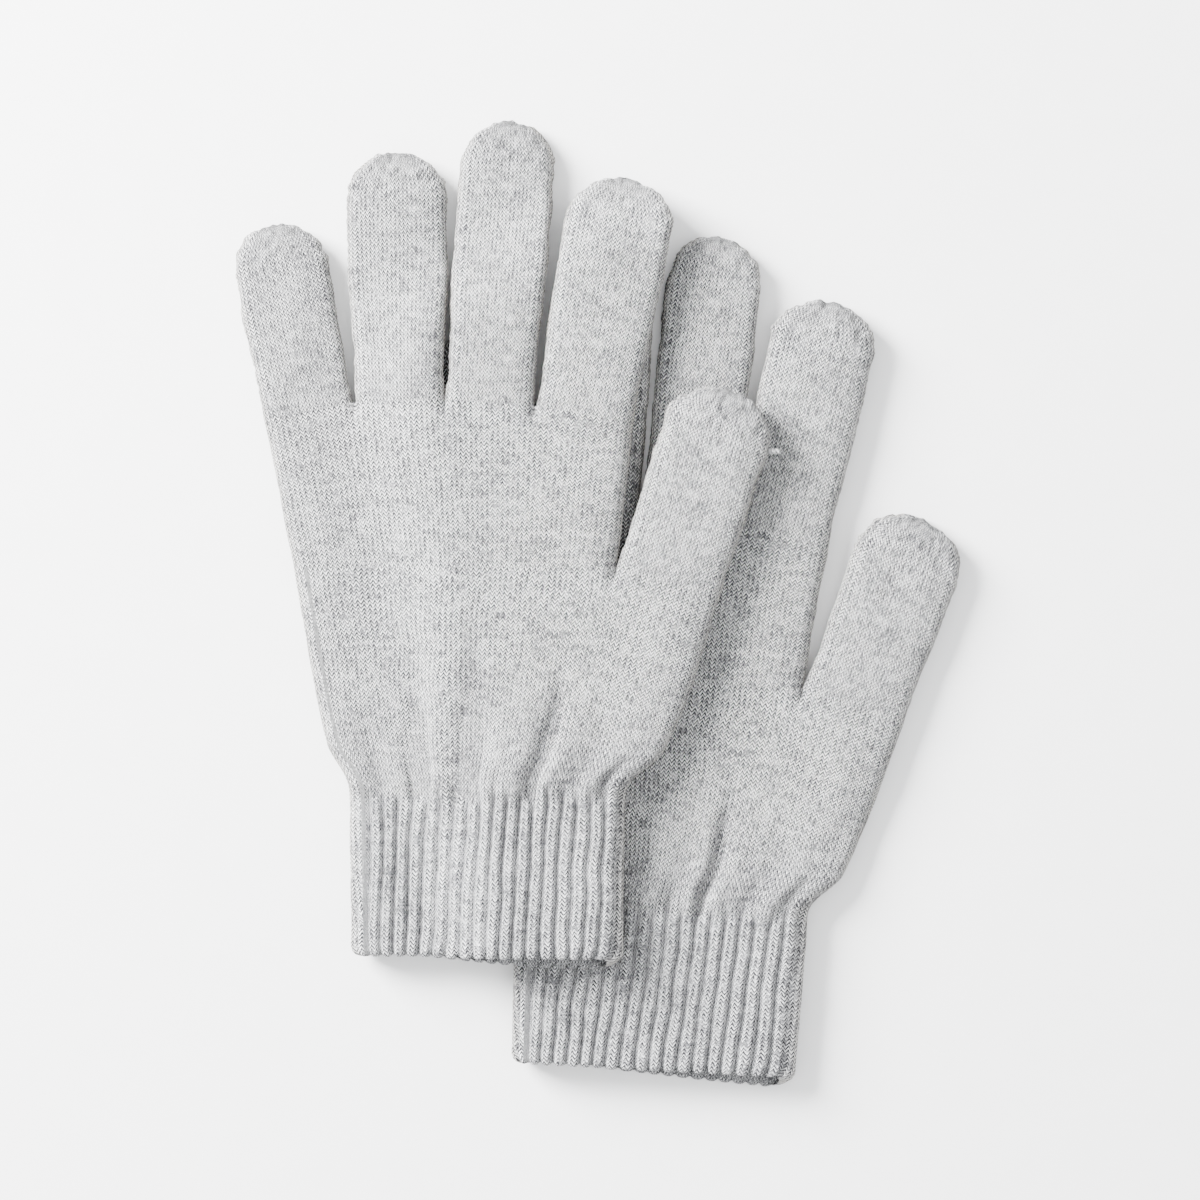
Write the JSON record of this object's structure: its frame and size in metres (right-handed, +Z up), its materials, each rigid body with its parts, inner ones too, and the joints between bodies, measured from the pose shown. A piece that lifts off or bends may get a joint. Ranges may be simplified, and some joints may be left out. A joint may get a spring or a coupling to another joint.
{
  "type": "knitted gloves",
  "caption": "Pair of light grey seamless knitted gloves with ribbed elastic cuffs, lying flat, one glove across the other.",
  "frame": {"origin": "middle of the pair's bounding box in plan, on the surface the gloves lie on", "axes": "+Y towards the fingertips, +X towards the thumbs, +Z up out of the surface"},
  "size_m": [0.1902, 0.2533, 0.0192],
  "materials": {
    "plain_knit": "matte melange plain knit",
    "ribbed_knit": "matte melange ribbed knit",
    "closing_yarn": "matte yarn",
    "elastic_yarn": "covered elastic yarn"
  },
  "bodies": {
    "lower_hand": {"lower_cuff_hem": "ribbed_knit", "lower_ribbed_cuff": "ribbed_knit", "lower_elastic_yarns": "elastic_yarn", "lower_palm": "plain_knit", "lower_finger_panel": "plain_knit", "lower_fork_stitches": "closing_yarn", "lower_little_base": "plain_knit", "lower_little_tip": "plain_knit", "lower_little_closing_stitches": "closing_yarn", "lower_ring_base": "plain_knit", "lower_ring_tip": "plain_knit", "lower_ring_closing_stitches": "closing_yarn", "lower_middle_base": "plain_knit", "lower_middle_tip": "plain_knit", "lower_middle_closing_stitches": "closing_yarn", "lower_index_base": "plain_knit"},
    "upper_hand": {"upper_cuff_hem": "ribbed_knit", "upper_ribbed_cuff": "ribbed_knit", "upper_elastic_yarns": "elastic_yarn", "upper_palm": "plain_knit", "upper_finger_panel": "plain_knit", "upper_fork_stitches": "closing_yarn"},
    "upper_little_base": {"upper_little_base": "plain_knit"},
    "upper_little_tip": {"upper_little_tip": "plain_knit", "upper_little_closing_stitches": "closing_yarn"},
    "upper_ring_base": {"upper_ring_base": "plain_knit"},
    "upper_ring_tip": {"upper_ring_tip": "plain_knit", "upper_ring_closing_stitches": "closing_yarn"},
    "upper_middle_base": {"upper_middle_base": "plain_knit"},
    "upper_middle_tip": {"upper_middle_tip": "plain_knit", "upper_middle_closing_stitches": "closing_yarn"},
    "upper_index_base": {"upper_index_base": "plain_knit"},
    "upper_index_tip": {"upper_index_tip": "plain_knit", "upper_index_closing_stitches": "closing_yarn"},
    "upper_thumb_base": {"upper_thumb_base": "plain_knit"},
    "upper_thumb_tip": {"upper_thumb_tip": "plain_knit", "upper_thumb_closing_stitches": "closing_yarn", "upper_thumb_yarn_end": "closing_yarn"},
    "lower_index_tip": {"lower_index_tip": "plain_knit", "lower_index_closing_stitches": "closing_yarn"},
    "lower_thumb_base": {"lower_thumb_base": "plain_knit"},
    "lower_thumb_tip": {"lower_thumb_tip": "plain_knit", "lower_thumb_closing_stitches": "closing_yarn"}
  },
  "joints": [
    {"name": "upper_glove_lift", "type": "slide", "parent": "lower_hand", "child": "upper_hand", "axis": [0, 0, 1], "range_m": [0, 0.12]},
    {"name": "upper_little_knuckle", "type": "hinge", "parent": "upper_hand", "child": "upper_little_base", "pos_m": [-0.07546, 0.05049, 0.0085], "axis": [0.9816, 0.1908, 0], "range_deg": [0, 60]},
    {"name": "upper_little_middle_joint", "type": "hinge", "parent": "upper_little_base", "child": "upper_little_tip", "pos_m": [-0.08046, 0.07616, 0.008], "axis": [0.9816, 0.1908, 0], "range_deg": [0, 90]},
    {"name": "upper_ring_knuckle", "type": "hinge", "parent": "upper_hand", "child": "upper_ring_base", "pos_m": [-0.05169, 0.05299, 0.0163], "axis": [0.9998, 0.0174, 0], "range_deg": [0, 60]},
    {"name": "upper_ring_middle_joint", "type": "hinge", "parent": "upper_ring_base", "child": "upper_ring_tip", "pos_m": [-0.05226, 0.08573, 0.0109], "axis": [0.9998, 0.0174, 0], "range_deg": [0, 90]},
    {"name": "upper_middle_knuckle", "type": "hinge", "parent": "upper_hand", "child": "upper_middle_base", "pos_m": [-0.02797, 0.0524, 0.0163], "axis": [0.9977, -0.068, 0], "range_deg": [0, 60]},
    {"name": "upper_middle_middle_joint", "type": "hinge", "parent": "upper_middle_base", "child": "upper_middle_tip", "pos_m": [-0.02543, 0.08956, 0.0147], "axis": [0.9977, -0.068, 0], "range_deg": [0, 75]},
    {"name": "upper_index_knuckle", "type": "hinge", "parent": "upper_hand", "child": "upper_index_base", "pos_m": [-0.00344, 0.04934, 0.0163], "axis": [0.9848, -0.1736, 0], "range_deg": [0, 60]},
    {"name": "upper_index_middle_joint", "type": "hinge", "parent": "upper_index_base", "child": "upper_index_tip", "pos_m": [0.00312, 0.08657, 0.0163], "axis": [0.9848, -0.1736, 0], "range_deg": [0, 90]},
    {"name": "upper_thumb_knuckle", "type": "hinge", "parent": "upper_hand", "child": "upper_thumb_base", "pos_m": [0.01813, 0.00537, 0.0163], "axis": [0.9511, -0.309, 0], "range_deg": [0, 60]},
    {"name": "upper_thumb_middle_joint", "type": "hinge", "parent": "upper_thumb_base", "child": "upper_thumb_tip", "pos_m": [0.02632, 0.03057, 0.0163], "axis": [0.9511, -0.309, 0], "range_deg": [0, 80]},
    {"name": "lower_index_middle_joint", "type": "hinge", "parent": "lower_hand", "child": "lower_index_tip", "pos_m": [0.05581, 0.05485, 0.008], "axis": [0.9744, -0.225, 0], "range_deg": [0, 90]},
    {"name": "lower_thumb_knuckle", "type": "hinge", "parent": "lower_hand", "child": "lower_thumb_base", "pos_m": [0.06655, -0.02702, 0.008], "axis": [0.9336, -0.3584, 0], "range_deg": [0, 60]},
    {"name": "lower_thumb_middle_joint", "type": "hinge", "parent": "lower_thumb_base", "child": "lower_thumb_tip", "pos_m": [0.07604, -0.00228, 0.008], "axis": [0.9336, -0.3584, 0], "range_deg": [0, 80]}
  ]
}
